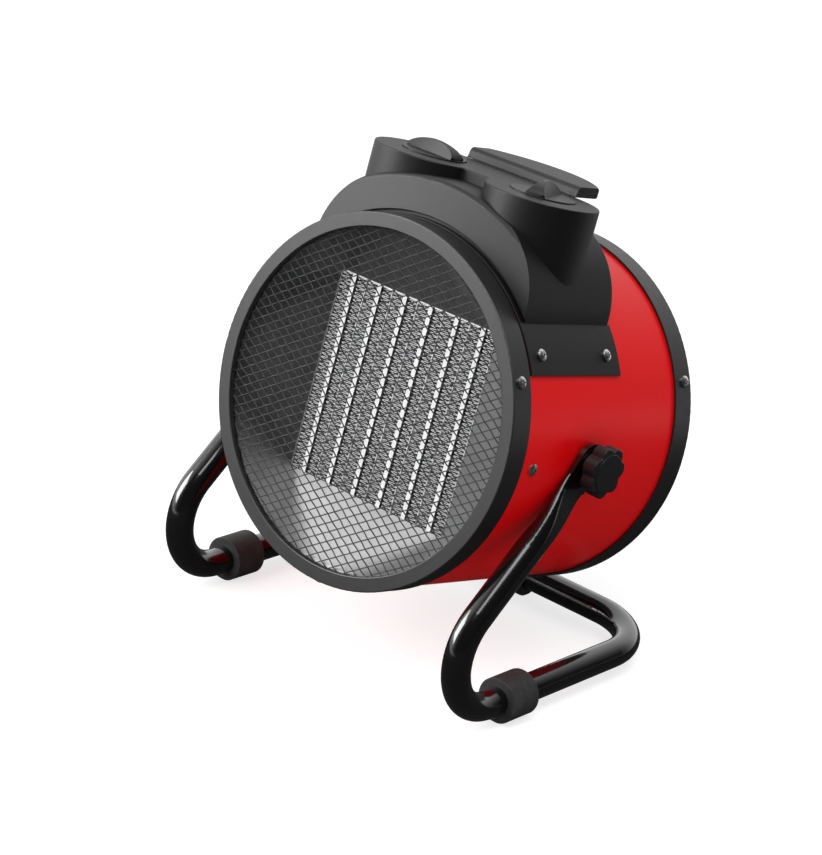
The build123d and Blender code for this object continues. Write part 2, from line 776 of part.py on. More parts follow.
def dial_switch(x):
    """The box under the panel that the dial turns."""
    with BuildPart() as box:
        with BuildSketch(above(top_z - plate_thick - seat_gap)):
            with Locations((x, knob_y)):
                RectangleRounded(switch_w, switch_w, 3)
        extrude(amount=-switch_h)
        with BuildSketch(above(top_z - plate_thick - seat_gap)):
            with Locations((x, knob_y)):
                Circle(dial_shaft_r + shaft_fit)
        extrude(amount=-dial_depth - seat_gap, mode=Mode.SUBTRACT)
    return box


selector_knob, selector_shaft = dial(-knob_x, left_turn)
save(selector_knob, "selector_knob")
save(selector_shaft, "selector_shaft")
thermostat_knob, thermostat_shaft = dial(knob_x, right_turn)
save(thermostat_knob, "thermostat_knob")
save(thermostat_shaft, "thermostat_shaft")
selector_switch = dial_switch(-knob_x)
save(selector_switch, "selector_switch")
thermostat_body = dial_switch(knob_x)
save(thermostat_body, "thermostat_body")

# ---- wiring pieces inside the housing -------------------------------------------------
with BuildPart() as terminal_block:
    with BuildSketch(above(shell_r + floor_gap)):
        with Locations((0, block_y)):
            RectangleRounded(block_w, block_d, 1.5)
    extrude(amount=block_h)
    with BuildSketch(above(shell_r + floor_gap + block_h)):
        with Locations((0, block_y)):
            with GridLocations(block_w / 3, block_d / 2, 3, 2):
                Circle(1.8)
    extrude(amount=-4, mode=Mode.SUBTRACT)
save(terminal_block, "terminal_block")

with BuildPart() as cable_gland:
    with BuildSketch(across(arch_rear + gland_fit + gland_flange_t)):
        with Locations((gland_x, gland_z)):
            RegularPolygon(gland_flange_r, 6)
    extrude(amount=gland_flange_t)
    with BuildSketch(across(arch_rear + gland_tail)):
        with Locations((gland_x, gland_z)):
            Circle(gland_neck_r)
    extrude(amount=gland_tail + gland_in)
    with BuildSketch(across(arch_rear + gland_tail)):
        with Locations((gland_x, gland_z)):
            Circle(gland_bore_r)
    extrude(amount=gland_tail + gland_in, mode=Mode.SUBTRACT)
save(cable_gland, "cable_gland")

# ---- screws ---------------------------------------------------------------------------
for places, name in ((ring_places, "ring_screws"), (flange_places, "housing_screws"),
                     (side_places, "side_screws")):
    heads = [screw_at(p) for p in places]
    with BuildPart() as group:
        for head in heads:
            add(head)
    save(group, name)

# ---- pivot hardware -------------------------------------------------------------------
insert_out = sqrt((shell_r - shell_wall) ** 2 - insert_r ** 2) - ring_fit
with BuildPart() as pivot_inserts:
    for sign in (1, -1):
        with BuildSketch(beside(sign * insert_out)):
            with Locations((pivot_back, 0)):
                Circle(insert_r)
        extrude(amount=-sign * insert_t)
        with BuildSketch(beside(sign * (shell_r - ring_fit))):
            with Locations((pivot_back, 0)):
                Circle(insert_neck_r)
        extrude(amount=-sign * insert_t)
    with BuildSketch(beside(0)):
        with Locations((pivot_back, 0)):
            Circle(stud_r + thread_fit)
    extrude(amount=shell_r, both=True, mode=Mode.SUBTRACT)
save(pivot_inserts, "pivot_inserts")

with BuildPart() as pivot_washers:
    for sign in (1, -1):
        with BuildSketch(beside(sign * (shell_r + washer_gap))):
            with Locations((pivot_back, 0)):
                Circle(washer_r)
                Circle(stud_r + stud_hole_fit, mode=Mode.SUBTRACT)
        extrude(amount=sign * washer_t)
save(pivot_washers, "pivot_washers")

strap_out = strap_in + strap_t
star_in = strap_out + star_gap


def clamp(sign):
    """A star knob and its stud on one side."""
    with BuildPart() as knob:
        with BuildSketch(beside(sign * (star_in + star_neck_len))) as star:
            with Locations((pivot_back, 0)):
                Circle(star_r - star_lobe_r)
                with PolarLocations(star_r - star_lobe_r, star_lobes, start_angle=star_turn):
                    Circle(star_lobe_r)
            fillet(star.vertices(), star_valley)
        extrude(amount=sign * star_thick)
        outer = knob.faces().sort_by(Axis.X)[-1 if sign > 0 else 0]
        fillet(outer.outer_wire().edges(), star_edge)
        with BuildSketch(beside(sign * (star_in + star_neck_len + star_thick))):
            with Locations((pivot_back, 0)):
                Circle(star_face_r)
        extrude(amount=sign * star_face_h)
        outer = knob.faces().sort_by(Axis.X)[-1 if sign > 0 else 0]
        fillet(outer.outer_wire().edges(), star_face_h * 0.9)
        with BuildSketch(beside(sign * star_in)):
            with Locations((pivot_back, 0)):
                Circle(star_neck_r)
        extrude(amount=sign * (star_neck_len + star_edge))
        with BuildSketch(beside(sign * star_in)):
            with Locations((pivot_back, 0)):
                Circle(stud_r + thread_fit)
        extrude(amount=sign * star_bore, mode=Mode.SUBTRACT)
    with BuildPart() as stud:
        tip = star_in + star_bore - floor_gap
        with BuildSketch(beside(sign * tip)):
            with Locations((pivot_back, 0)):
                Circle(stud_r)
        extrude(amount=-sign * stud_len)
    return knob, stud


clamp_knob_right, clamp_stud_right = clamp(1)
clamp_knob_left, clamp_stud_left = clamp(-1)
save(clamp_knob_right, "clamp_knob_right")
save(clamp_stud_right, "clamp_stud_right")
save(clamp_knob_left, "clamp_knob_left")
save(clamp_stud_left, "clamp_stud_left")

# ---- bent tube stand ------------------------------------------------------------------
# leg: from the pivot, straight and tangent to the front bend, then back along the floor
bend_y, bend_z = pivot_y - bend_ahead, rail_z + bend_r
dy, dz = pivot_y - bend_y, pivot_z - bend_z
touch = atan2(dz, dy) + acos(bend_r / hypot(dy, dz))
touch_y, touch_z = bend_y + bend_r * cos(touch), bend_z + bend_r * sin(touch)
leg_len = hypot(pivot_y - touch_y, pivot_z - touch_z)
leg_dir = Vector(0, (touch_y - pivot_y) / leg_len, (touch_z - pivot_z) / leg_len)
half_touch = (touch + radians(270)) / 2
cross_y = pivot_y + cross_behind
round_from = flat_len + press_len
round_w = 2 * (tube_r - press_fit)
print("leg angle", degrees(atan2(-leg_dir.Z, -leg_dir.Y)), "straight", leg_len)


def leg_point(x, s):
    return Vector(x, pivot_y, pivot_z) + leg_dir * s


with BuildPart() as stand_tube:
    with BuildLine() as path:
        start = leg_point(rail_x, round_from)
        bottom = Vector(rail_x, bend_y, rail_z)
        back = Vector(rail_x, cross_y - corner_r, rail_z)
        inner = Vector(rail_x - corner_r, cross_y, rail_z)
        q = corner_r * (1 - cos(radians(45)))
        Line(start, (rail_x, touch_y, touch_z))
        ThreePointArc((rail_x, touch_y, touch_z),
                      (rail_x, bend_y + bend_r * cos(half_touch), bend_z + bend_r * sin(half_touch)),
                      bottom)
        Line(bottom, back)
        ThreePointArc(back, (rail_x - q, cross_y - q, rail_z), inner)
        Line(inner, (-inner.X, inner.Y, inner.Z))
        ThreePointArc((-inner.X, inner.Y, inner.Z), (q - rail_x, cross_y - q, rail_z),
                      (-back.X, back.Y, back.Z))
        Line((-back.X, back.Y, back.Z), (-bottom.X, bottom.Y, bottom.Z))
        ThreePointArc((-bottom.X, bottom.Y, bottom.Z),
                      (-rail_x, bend_y + bend_r * cos(half_touch), bend_z + bend_r * sin(half_touch)),
                      (-rail_x, touch_y, touch_z))
        Line((-rail_x, touch_y, touch_z), (-start.X, start.Y, start.Z))
    with BuildSketch(Plane(origin=start, x_dir=(1, 0, 0), z_dir=leg_dir)):
        Circle(tube_r)
        Circle(tube_r - tube_wall, mode=Mode.SUBTRACT)
    sweep()
    for sign in (1, -1):
        for k in range(press_steps + 1):
            u = k / press_steps
            ease = u * u * (3 - 2 * u)
            thick = strap_t + (round_w - strap_t) * ease
            width = flat_w + (round_w - flat_w) * ease
            x = strap_in + (rail_x - round_w / 2 - strap_in) * ease ** 2 + thick / 2
            with BuildSketch(Plane(origin=leg_point(sign * x, flat_len + u * press_len),
                                   x_dir=(1, 0, 0), z_dir=leg_dir)):
                RectangleRounded(thick, width, min(thick, width) / 2 - press_fit)
        loft()
        with BuildSketch(Plane(origin=leg_point(sign * strap_in, 0), x_dir=leg_dir,
                               z_dir=(sign, 0, 0))):
            Circle(ear_r)
            with BuildLine():
                Polyline((0, ear_r), (flat_len, flat_w / 2), (flat_len, -flat_w / 2), (0, -ear_r),
                         close=True)
            make_face()
            Circle(stud_r + stud_hole_fit, mode=Mode.SUBTRACT)
        extrude(amount=strap_t)
save(stand_tube, "stand_tube")


# ---- rubber foot sleeves --------------------------------------------------------------
def sleeve(place):
    with BuildPart() as foot:
        with BuildSketch(place):
            Circle(sleeve_r)
            Circle(tube_r + sleeve_fit, mode=Mode.SUBTRACT)
        extrude(amount=sleeve_len)
        rims = foot.edges().filter_by(GeomType.CIRCLE).filter_by(
            lambda e: abs(e.radius - sleeve_r) < sleeve_fit)
        fillet(rims, sleeve_edge)
        with BuildSketch(Plane.XY):
            Rectangle(4 * rail_x, 4 * rail_x)
        extrude(amount=4 * sleeve_r, mode=Mode.INTERSECT)
    return foot


sleeve_y = pivot_y - sleeve_ahead
foot_front_right = sleeve(Plane(origin=(rail_x, sleeve_y, rail_z), x_dir=(1, 0, 0), z_dir=(0, 1, 0)))
save(foot_front_right, "foot_front_right")
foot_front_left = sleeve(Plane(origin=(-rail_x, sleeve_y, rail_z), x_dir=(1, 0, 0), z_dir=(0, 1, 0)))
save(foot_front_left, "foot_front_left")
foot_rear = sleeve(Plane(origin=(-sleeve_len / 2, cross_y, rail_z), x_dir=(0, 1, 0), z_dir=(1, 0, 0)))
save(foot_rear, "foot_rear")
print("pivot", pivot_y, pivot_z, "front centre", front_y, front_z)
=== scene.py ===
import json
import math

import bpy
from bpy.props import FloatProperty, FloatVectorProperty, PointerProperty
from mathutils import Matrix, Vector


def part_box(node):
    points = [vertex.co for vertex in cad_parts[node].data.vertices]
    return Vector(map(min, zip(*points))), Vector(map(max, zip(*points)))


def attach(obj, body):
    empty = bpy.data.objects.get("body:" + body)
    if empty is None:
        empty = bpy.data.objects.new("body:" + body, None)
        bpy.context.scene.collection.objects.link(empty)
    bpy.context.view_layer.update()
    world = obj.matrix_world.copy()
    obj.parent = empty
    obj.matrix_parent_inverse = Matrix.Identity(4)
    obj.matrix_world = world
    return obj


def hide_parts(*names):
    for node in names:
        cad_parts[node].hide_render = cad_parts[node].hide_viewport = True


bl_info = {
    "name": "Forced air heater",
    "version": (1, 0, 0),
    "blender": (4, 5, 0),
    "location": "3D View > Sidebar > Heater",
    "description": "Finishes and fine pieces for a round ceramic fan heater on a tube stand",
    "category": "Add Mesh",
}

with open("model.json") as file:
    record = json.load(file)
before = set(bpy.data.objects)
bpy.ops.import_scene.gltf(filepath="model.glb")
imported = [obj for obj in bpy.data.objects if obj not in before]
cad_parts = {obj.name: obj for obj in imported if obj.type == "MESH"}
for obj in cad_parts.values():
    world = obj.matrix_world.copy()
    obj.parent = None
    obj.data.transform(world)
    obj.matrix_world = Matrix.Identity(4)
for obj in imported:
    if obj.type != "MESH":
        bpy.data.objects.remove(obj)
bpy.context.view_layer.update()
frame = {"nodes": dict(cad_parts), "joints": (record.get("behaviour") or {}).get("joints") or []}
nodes = frame["nodes"]
joints = {j["name"]: j for j in frame["joints"]}

# ---- the drum's own directions, from the frame's joints ---------------------------------
MM = 0.001
FAN_BACK = 84.0 * MM        # the fan joint's place behind the drum's front face
rightward = Vector((1, 0, 0))
rearward = Vector(joints["fan_spin"]["axis"])
upward = Vector(joints["selector_turn"]["axis"])
front_centre = Vector(joints["fan_spin"]["pos_m"]) - rearward * FAN_BACK

# ---- fine sizes of the element and the guards -------------------------------------------
FIN_GAP = 0.3 * MM          # fins to the strips beside them
FIN_INSET = 0.4 * MM        # fins behind the strips' front edges
FIN_LEAST = 2.0 * MM        # a narrower column has no fins
STRIP_SLOT = 1.1 * MM       # open slot at the right of each ceramic strip
FOIL_CAP = 0.7 * MM         # height of the foil that closes a column's top
FOIL_EDGE = 0.3 * MM        # foil sheet along the element's left end
FOIL_BRIGHT = 0.6 * MM      # depth over which painted shade turns the foil dark
PLEAT_STEPS = 8             # points along one full pleat
PLEAT_FLAT = 1.25           # a wave this high, cut off at 1, gives the pleats flat crests
PLEAT_ROOM = 0.7            # part of the foil's thickness kept free beside a crest
PLEAT_START = math.pi / 4   # where in its wave a pleated foil begins
WIRE_SIDES = 6              # sides of a guard's round wire
WEAVE_LIFT = 0.45           # part of its diameter by which a wire goes over or under
MICRON_DIGITS = 6           # decimals of a metre to which places are told apart
CAD_SMOOTH = math.radians(30.0)     # CAD nodes are shaded smooth up to this bend
FINE_SMOOTH = math.radians(50.0)    # and so are the pieces made here, up to this one

# ---- colours that the settings leave out ------------------------------------------------
NEAR_BLACK = (0.02, 0.02, 0.02)
# painted shade deep in the fins, behind their front edges
DEPTH_SHADE = (0.01, 0.01, 0.01)
WIRE_BLACK = (0.035, 0.035, 0.036)
WIRE_CHIPPED = (0.08, 0.08, 0.08)
FOIL_LOW = (0.72, 0.72, 0.73)
FOIL_HIGH = (0.92, 0.92, 0.93)
SEAM_LOW = (0.30, 0.30, 0.30)
SEAM_HIGH = (0.90, 0.90, 0.91)
PLATED = (0.78, 0.78, 0.79)
STEEL = (0.6, 0.6, 0.61)
ZINC = (0.55, 0.56, 0.57)
FAN_METAL = (0.66, 0.67, 0.68)
SWITCH_CREAM = (0.62, 0.60, 0.54)

# ---- the photograph's camera ------------------------------------------------------------
PHOTO_W, PHOTO_H = 822, 855
FOCAL_PX = 2850.2
SENSOR_MM = 36.0
CLIP_NEAR, CLIP_FAR = 0.05, 50.0
CAMERA_AT = Vector((0.88773, -1.15226, 0.68451))
LOOK = Vector((-0.57849, 0.73003, -0.36389))
CAMERA_RIGHT = Vector((0.74167, 0.65645, 0.13788))

# ---- floor and room ---------------------------------------------------------------------
FLOOR_REACH = 6.0           # from the middle to each side of the floor
FLOOR_LOW, FLOOR_HIGH = (0.50,) * 3, (0.54,) * 3    # its lit colour drifts between these
FLOOR_WHITE = 0.72          # what the floor adds to its lit colour, to the eye
FLOOR_NEAR = 0.70           # in gloss, the floor has painted shade up to this far from the middle
FLOOR_EDGE = 0.25           # in gloss, it turns dark from this far out on the open side
FLOOR_FADE = 0.50           # distance over which either change comes
WORLD_LIGHT = 0.50          # the room's light on the object
WORLD_SEEN = 0.95           # the room's white, to the eye and in gloss
ROOM_DARK = 0.02            # the unlit side, and the painted shade near the object, in gloss
OPEN_SIDE = (0.90, -0.44, 0.0)      # direction of the room's open, unlit side
WALL_WHITE, WALL_DARK = 0.30, 0.62  # where white ends and dark starts, 1 at the open side


# ---- places -----------------------------------------------------------------------------
def in_drum(x, y, z):
    """A point given right of, behind and over the centre of the drum's front face"""
    return front_centre + rightward * x + rearward * y + upward * z


def from_drum(node):
    """A CAD node's vertices as right, back and up from the drum's front centre"""
    spots = [v.co - front_centre for v in nodes[node].data.vertices]
    return [Vector((p.dot(rightward), p.dot(rearward), p.dot(upward))) for p in spots]


# ---- settings that a user would change --------------------------------------------------
def length(name, about, default):
    """A setting in metres"""
    return FloatProperty(name=name, description=about, default=default, min=0.0,
                         unit="LENGTH", precision=5)


def colour(name, about, default):
    """A setting that holds a base colour"""
    return FloatVectorProperty(name=name, description=about, default=default, size=3,
                               min=0.0, max=1.0, subtype="COLOR")


class HeaterSizes(bpy.types.PropertyGroup):
    """Sizes of the fine pieces that the frame leaves to this scene"""
    mesh_pitch: length("Mesh pitch", "Distance between parallel wires of the guards", 0.0047)
    mesh_wire: length("Mesh wire", "Diameter of the guards' wires", 0.0007)
    mesh_reach: length("Mesh radius", "Radius at which the guards' wires end", 0.0962)
    mesh_angle: FloatProperty(name="Mesh angle", description="Slope of the wires to the level",
                              default=math.radians(33.0), subtype="ANGLE")
    pleat_pitch: length("Pleat pitch", "Height of one full pleat of the fins", 0.0020)
    foil: length("Foil", "Thickness of the fins' foil", 0.00030)


class HeaterColours(bpy.types.PropertyGroup):
    """Base colours of the heater's finishes"""
    paint: colour("Drum paint", "Gloss paint of the drum", (0.86, 0.002, 0.004))
    ring: colour("Ring paint", "Satin paint of the trim rings", (0.012, 0.012, 0.0125))
    tube: colour("Stand paint", "Gloss paint of the stand", (0.003, 0.003, 0.0033))
    housing: colour("Housing", "Moulded control housing", (0.004, 0.004, 0.0042))
    dial: colour("Dials", "Moulded dials", (0.004, 0.004, 0.0042))
    knob: colour("Clamp knobs", "Moulded star knobs", (0.009, 0.009, 0.0095))
    rubber: colour("Rubber", "Sleeves on the stand", (0.036, 0.036, 0.0365))
    duct: colour("Duct sheet", "Sheet funnel behind the front guard", (0.34, 0.34, 0.34))
    ceramic: colour("Ceramic", "White strips of the element", (0.93, 0.93, 0.92))


def sizes():
    """The sizes as they are set in the scene"""
    return bpy.context.scene.heater_sizes


def colours():
    """The colours as they are set in the scene"""
    return bpy.context.scene.heater_colours


def toned(shade, factor):
    """A colour made darker or lighter by a factor"""
    return tuple(c * factor for c in shade)


# ---- shader maths as expressions --------------------------------------------------------
class Wire:
    """A node's output socket, on which + - * and / add Math nodes"""

    def __init__(self, finish, socket):
        self.finish = finish
        self.socket = socket

    def math(self, operation, other):
        """A Math node on this socket and another value"""
        return self.finish.node("ShaderNodeMath", {"operation": operation},
                                {0: self, 1: other})

    def __add__(self, other):
        return self.math("ADD", other)

    __radd__ = __add__

    def __mul__(self, other):
        return self.math("MULTIPLY", other)

    __rmul__ = __mul__

    def __sub__(self, other):
        return self.math("SUBTRACT", other)

    def __rsub__(self, other):
        return self.finish.node("ShaderNodeMath", {"operation": "SUBTRACT"},
                                {0: other, 1: self})

    def __truediv__(self, other):
        return self.math("DIVIDE", other)

    def clipped(self):
        """Held between 0 and 1"""
        return self.finish.node("ShaderNodeClamp", {}, {"Value": self})


class Finish:
    """One material and the calls that add nodes to it"""
    EDGE_SAMPLES = 6
    EDGE_GAIN = 6.0     # how fast a bend in the surface counts as an edge

    def __init__(self, name):
        self.material = bpy.data.materials.new(name)
        self.material.use_nodes = True
        self.tree = self.material.node_tree
        self.shader = self.tree.nodes["Principled BSDF"]
        self.place = self.node("ShaderNodeTexCoord", {}, {}, "Object")

    @classmethod
    def of_world(cls, world):
        """The same calls on a world's nodes"""
        made = cls.__new__(cls)
        made.tree = world.node_tree
        made.shader = made.tree.nodes["Background"]
        return made

    def node(self, kind, settings, inputs, output=0):
        """Any node, from its type, settings and sockets, as one of its outputs"""
        made = self.tree.nodes.new(kind)
        for key, value in settings.items():
            if key == "stops":
                self.set_stops(made.color_ramp.elements, value)
            else:
                setattr(made, key, value)
        for key, value in inputs.items():
            self.feed(made.inputs[key], value)
        return Wire(self, made.outputs[output])

    def set_stops(self, ramp, stops):
        """Gives a ramp its two stops, each a place and a grey"""
        for stop, (at, grey) in zip(ramp, stops):
            stop.position = at
            stop.color = (grey, grey, grey, 1)

    def feed(self, socket, value):
        """Links a socket or sets its value, with an alpha of 1 for a colour"""
        if isinstance(value, Wire):
            self.tree.links.new(value.socket, socket)
        elif isinstance(value, tuple) and len(value) < len(socket.default_value):
            socket.default_value = (*value, 1)
        else:
            socket.default_value = value

    def noise(self, scale, detail, roughness=0.5, stretch=None):
        """Noise over the piece, whose forms are about 1 / scale metres wide"""
        place = self.place
        if stretch:
            place = self.node("ShaderNodeMapping", {}, {"Vector": place, "Scale": stretch})
        return self.node("ShaderNodeTexNoise", {"noise_dimensions": "3D"},
                         {"Vector": place, "Scale": scale, "Detail": detail,
                          "Roughness": roughness})

    def ramp(self, value, first, last):
        """From one grey to another along a value, each given with its place"""
        return self.node("ShaderNodeValToRGB", {"stops": (first, last)}, {"Fac": value})

    def mix(self, amount, first, second):
        """From one colour to another"""
        return self.node("ShaderNodeMix", {"data_type": "RGBA", "clamp_factor": True},
                         {0: amount, 6: first, 7: second}, 2)

    def dot(self, first, second):
        """Dot product of two vectors"""
        return self.node("ShaderNodeVectorMath", {"operation": "DOT_PRODUCT"},
                         {0: first, 1: second}, "Value")

    def ray(self, kind):
        """1 for rays of this kind, as Light Path names it"""
        return self.node("ShaderNodeLightPath", {}, {}, f"Is {kind} Ray")

    def edges(self, reach):
        """0 on flat ground, 1 at a sharp edge, over the given reach in metres"""
        bent = self.node("ShaderNodeBevel", {"samples": self.EDGE_SAMPLES}, {"Radius": reach})
        plain = self.node("ShaderNodeNewGeometry", {}, {}, "Normal")
        return ((1 - self.dot(bent, plain)) * self.EDGE_GAIN).clipped()

    def bump(self, height, depth, strength):
        """Bumps from a height between 0 and 1, with their depth in metres"""
        bent = self.node("ShaderNodeBump", {}, {"Height": height, "Distance": depth,
                                                "Strength": strength})
        self.feed(self.shader.inputs["Normal"], bent)

    def grain(self, depth, strength, **noise):
        """Bumps from a noise of their own"""
        self.bump(self.noise(**noise), depth, strength)

    def rough(self, least, spread, **noise):
        """Roughness that drifts between least and least + spread"""
        self.set({"Roughness": self.noise(**noise) * spread + least})

    def set(self, inputs):
        """Links or sets the shader's sockets by name"""
        for name, value in inputs.items():
            self.feed(self.shader.inputs[name], value)


# ---- finishes ---------------------------------------------------------------------------
def gloss_red():
    """Gloss paint with slow clouds and a faint orange peel"""
    f = Finish("gloss_red_paint")
    paint = tuple(colours().paint)
    cloud = f.noise(scale=14, detail=2)
    f.set({"Base Color": f.mix(cloud, toned(paint, 0.93), paint), "Specular IOR Level": 0.2})
    f.rough(least=0.27, spread=0.08, scale=60, detail=4)
    f.grain(depth=0.00004, strength=0.5, scale=420, detail=2)
    return f.material


def satin_black(name, shade, rough):
    """Powder coat: a fine orange peel, with its edges a little rubbed"""
    f = Finish(name)
    rubbed = f.edges(0.0005) * f.noise(scale=900, detail=2)
    f.set({"Base Color": f.mix(rubbed, shade, toned(shade, 3.0)), "Specular IOR Level": 0.75})
    f.rough(least=rough, spread=0.14, scale=240, detail=4)
    f.grain(depth=0.00005, strength=0.5, scale=1600, detail=3)
    return f.material


def gloss_black():
    """Black paint under a clear coat"""
    f = Finish("gloss_black_paint")
    shade = tuple(colours().tube)
    cloud = f.noise(scale=30, detail=2)
    f.set({"Base Color": f.mix(cloud, toned(shade, 0.8), toned(shade, 1.3))})
    f.set({"Coat Weight": 1.0, "Coat Roughness": 0.09, "Specular IOR Level": 0.6})
    f.rough(least=0.14, spread=0.08, scale=90, detail=4)
    f.grain(depth=0.00003, strength=0.4, scale=500, detail=2)
    return f.material


def moulded(name, shade, rough):
    """Plastic with the fine spark-eroded grain of its mould"""
    f = Finish(name)
    grain_scale = 2600
    worn = f.edges(0.0006) * f.noise(scale=500, detail=3)
    cloud = f.noise(scale=40, detail=3)
    pale = worn * 0.5 + cloud * 0.15
    f.set({"Base Color": f.mix(pale, shade, toned(shade, 1.9)), "Specular IOR Level": 0.5})
    f.rough(least=rough, spread=0.10, scale=grain_scale / 3, detail=3)
    f.grain(depth=0.00006, strength=0.55, scale=grain_scale, detail=4, roughness=0.6)
    return f.material


def sleeve_rubber():
    """Matt rubber with a little dust"""
    f = Finish("sleeve_rubber")
    shade = tuple(colours().rubber)
    dust = f.ramp(f.noise(scale=180, detail=5, roughness=0.65), (0.48, 0.0), (0.75, 1.0))
    f.set({"Base Color": f.mix(dust, shade, toned(shade, 1.7)), "Specular IOR Level": 0.35})
    f.rough(least=0.55, spread=0.15, scale=300, detail=3)
    f.grain(depth=0.00012, strength=0.6, scale=1400, detail=4, roughness=0.6)
    return f.material


def bright_steel(name, shade, rough, scratch=1500):
    """Plated steel with fine scratches"""
    f = Finish(name)
    fine = f.noise(scale=scratch, detail=3, roughness=0.6, stretch=(1, 1, 6))
    f.set({"Base Color": f.mix(fine, toned(shade, 0.82), shade), "Metallic": 1.0})
    f.rough(least=rough, spread=0.14, scale=400, detail=3)
    f.bump(fine, depth=0.00002, strength=0.4)
    return f.material


def duct_sheet():
    """Bare rolled sheet, streaked across the drum"""
    f = Finish("duct_sheet")
    shade = tuple(colours().duct)
    rolled = f.noise(scale=260, detail=4, roughness=0.6, stretch=(0.15, 1, 1))
    f.set({"Base Color": f.mix(rolled, toned(shade, 0.9), shade), "Metallic": 1.0})
    f.rough(least=0.42, spread=0.12, scale=120, detail=4)
    f.bump(rolled, depth=0.00004, strength=0.4)
    return f.material


def wire_paint():
    """Black paint of the guards' wires, worn thin in places"""
    f = Finish("wire_paint")
    chipped = f.ramp(f.noise(scale=700, detail=4, roughness=0.7), (0.60, 0.0), (0.72, 1.0))
    f.set({"Base Color": f.mix(chipped, WIRE_BLACK, WIRE_CHIPPED), "Specular IOR Level": 0.3})
    f.rough(least=0.34, spread=0.15, scale=400, detail=3)
    f.grain(depth=0.00003, strength=0.5, scale=1800, detail=3)
    return f.material


def ceramic():
    """White ceramic, speckled on its front, with painted shade on its flanks"""
    f = Finish("white_ceramic")
    shade = tuple(colours().ceramic)
    speck = f.ramp(f.noise(scale=1300, detail=3, roughness=0.6), (0.62, 0.0), (0.75, 1.0))
    outward = f.node("ShaderNodeTexCoord", {}, {}, "Normal")
    # painted shade: the strips' flanks are made near black, as if in shade
    painted_flank_shade = f.ramp(f.dot(outward, tuple(-rearward)), (0.3, 1.0), (0.6, 0.0))
    face = f.mix(speck, shade, toned(shade, 0.85))
    f.set({"Base Color": f.mix(painted_flank_shade, face, toned(shade, 0.03))})
    f.rough(least=0.45, spread=0.15, scale=200, detail=3)
    f.grain(depth=0.00006, strength=0.5, scale=900, detail=4)
    return f.material


def seam_foil():
    """Thin foil edges, bright where the fins' folds touch them"""
    f = Finish("seam_foil")
    folds = f.noise(scale=420, detail=1, roughness=0.4, stretch=(0.2, 0.2, 1))
    bright = f.ramp(folds, (0.42, 0.0), (0.52, 1.0))
    f.set({"Base Color": f.mix(bright, SEAM_LOW, SEAM_HIGH), "Metallic": 0.2})
    f.rough(least=0.35, spread=0.2, scale=500, detail=3)
    return f.material


def foil_front():
    """How far behind the origin the foil's front edges lie, along the drum"""
    spots = [v.co.dot(rearward) for v in nodes["ceramic_strips"].data.vertices]
    return min(spots) + FIN_INSET


def foil():
    """Bright at the folded foil's front edges, with painted shade that darkens it deeper in"""
    f = Finish("fin_foil")
    # painted shade: the foil turns near black behind its front edges, where shade falls in the
    # folds
    painted_depth_shade = ((f.dot(f.place, tuple(rearward)) - foil_front()) / FOIL_BRIGHT).clipped()
    streak = f.noise(scale=700, detail=3, roughness=0.6, stretch=(1, 0.2, 1))
    bright = f.mix(streak, FOIL_LOW, FOIL_HIGH)
    f.set({"Base Color": f.mix(painted_depth_shade, bright, DEPTH_SHADE), "Metallic": 0.3})
    f.rough(least=0.35, spread=0.2, scale=500, detail=3)
    return f.material


# ---- mesh helpers -----------------------------------------------------------------------
def coat(mesh, finish, smooth):
    """Gives a mesh one finish and smooth shading between its sharp edges"""
    mesh.materials.clear()
    mesh.materials.append(finish)
    mesh.shade_smooth()
    mesh.set_sharp_from_angle(angle=smooth)


def dress(finish, *names):
    """Finishes CAD nodes"""
    for name in names:
        coat(nodes[name].data, finish, CAD_SMOOTH)


def add_piece(name, points, faces, finish, slot, stands_for):
    """A new piece on the heater's body, in place of a CAD node"""
    mesh = bpy.data.meshes.new(name)
    mesh.from_pydata([tuple(p) for p in points], [], faces)
    mesh.validate()
    coat(mesh, finish, FINE_SMOOTH)
    piece = bpy.data.objects.new(name, mesh)
    bpy.context.scene.collection.objects.link(piece)
    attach(piece, "heater")
    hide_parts(stands_for)


def tube_faces(rings, sides):
    """Faces of a tube through rings of points, with flat ends"""
    faces = []
    for ring in range(rings - 1):
        for side in range(sides):
            a = ring * sides + side
            b = ring * sides + (side + 1) % sides
            faces.append((a, b, b + sides, a + sides))
    faces.append(tuple(range(sides))[::-1])
    faces.append(tuple(range((rings - 1) * sides, rings * sides)))
    return faces


def rod(points, radius, across):
    """Points and faces of a round wire, with across about square to all of it"""
    verts = []
    for k, p in enumerate(points):
        run = points[min(k + 1, len(points) - 1)] - points[max(k - 1, 0)]
        side = run.normalized().cross(across).normalized()
        for s in range(WIRE_SIDES):
            turn = 2 * math.pi * (s + 0.5) / WIRE_SIDES
            out = side * (radius * math.cos(turn))
            verts.append(p + out + across * (radius * math.sin(turn)))
    return verts, tube_faces(len(points), WIRE_SIDES)


def slab(left, right, low, high, front, back):
    """Points and faces of a box that lies square to the drum"""
    verts = [in_drum(x, y, z) for y in (front, back) for z in (low, high) for x in (left, right)]
    faces = [(0, 1, 3, 2), (4, 6, 7, 5), (0, 4, 5, 1), (2, 3, 7, 6), (0, 2, 6, 4), (1, 5, 7, 3)]
    return verts, faces


def join(parts):
    """One list of points and faces from several"""
    verts, faces = [], []
    for part_verts, part_faces in parts:
        faces += [tuple(i + len(verts) for i in f) for f in part_faces]
        verts += part_verts
    return verts, faces


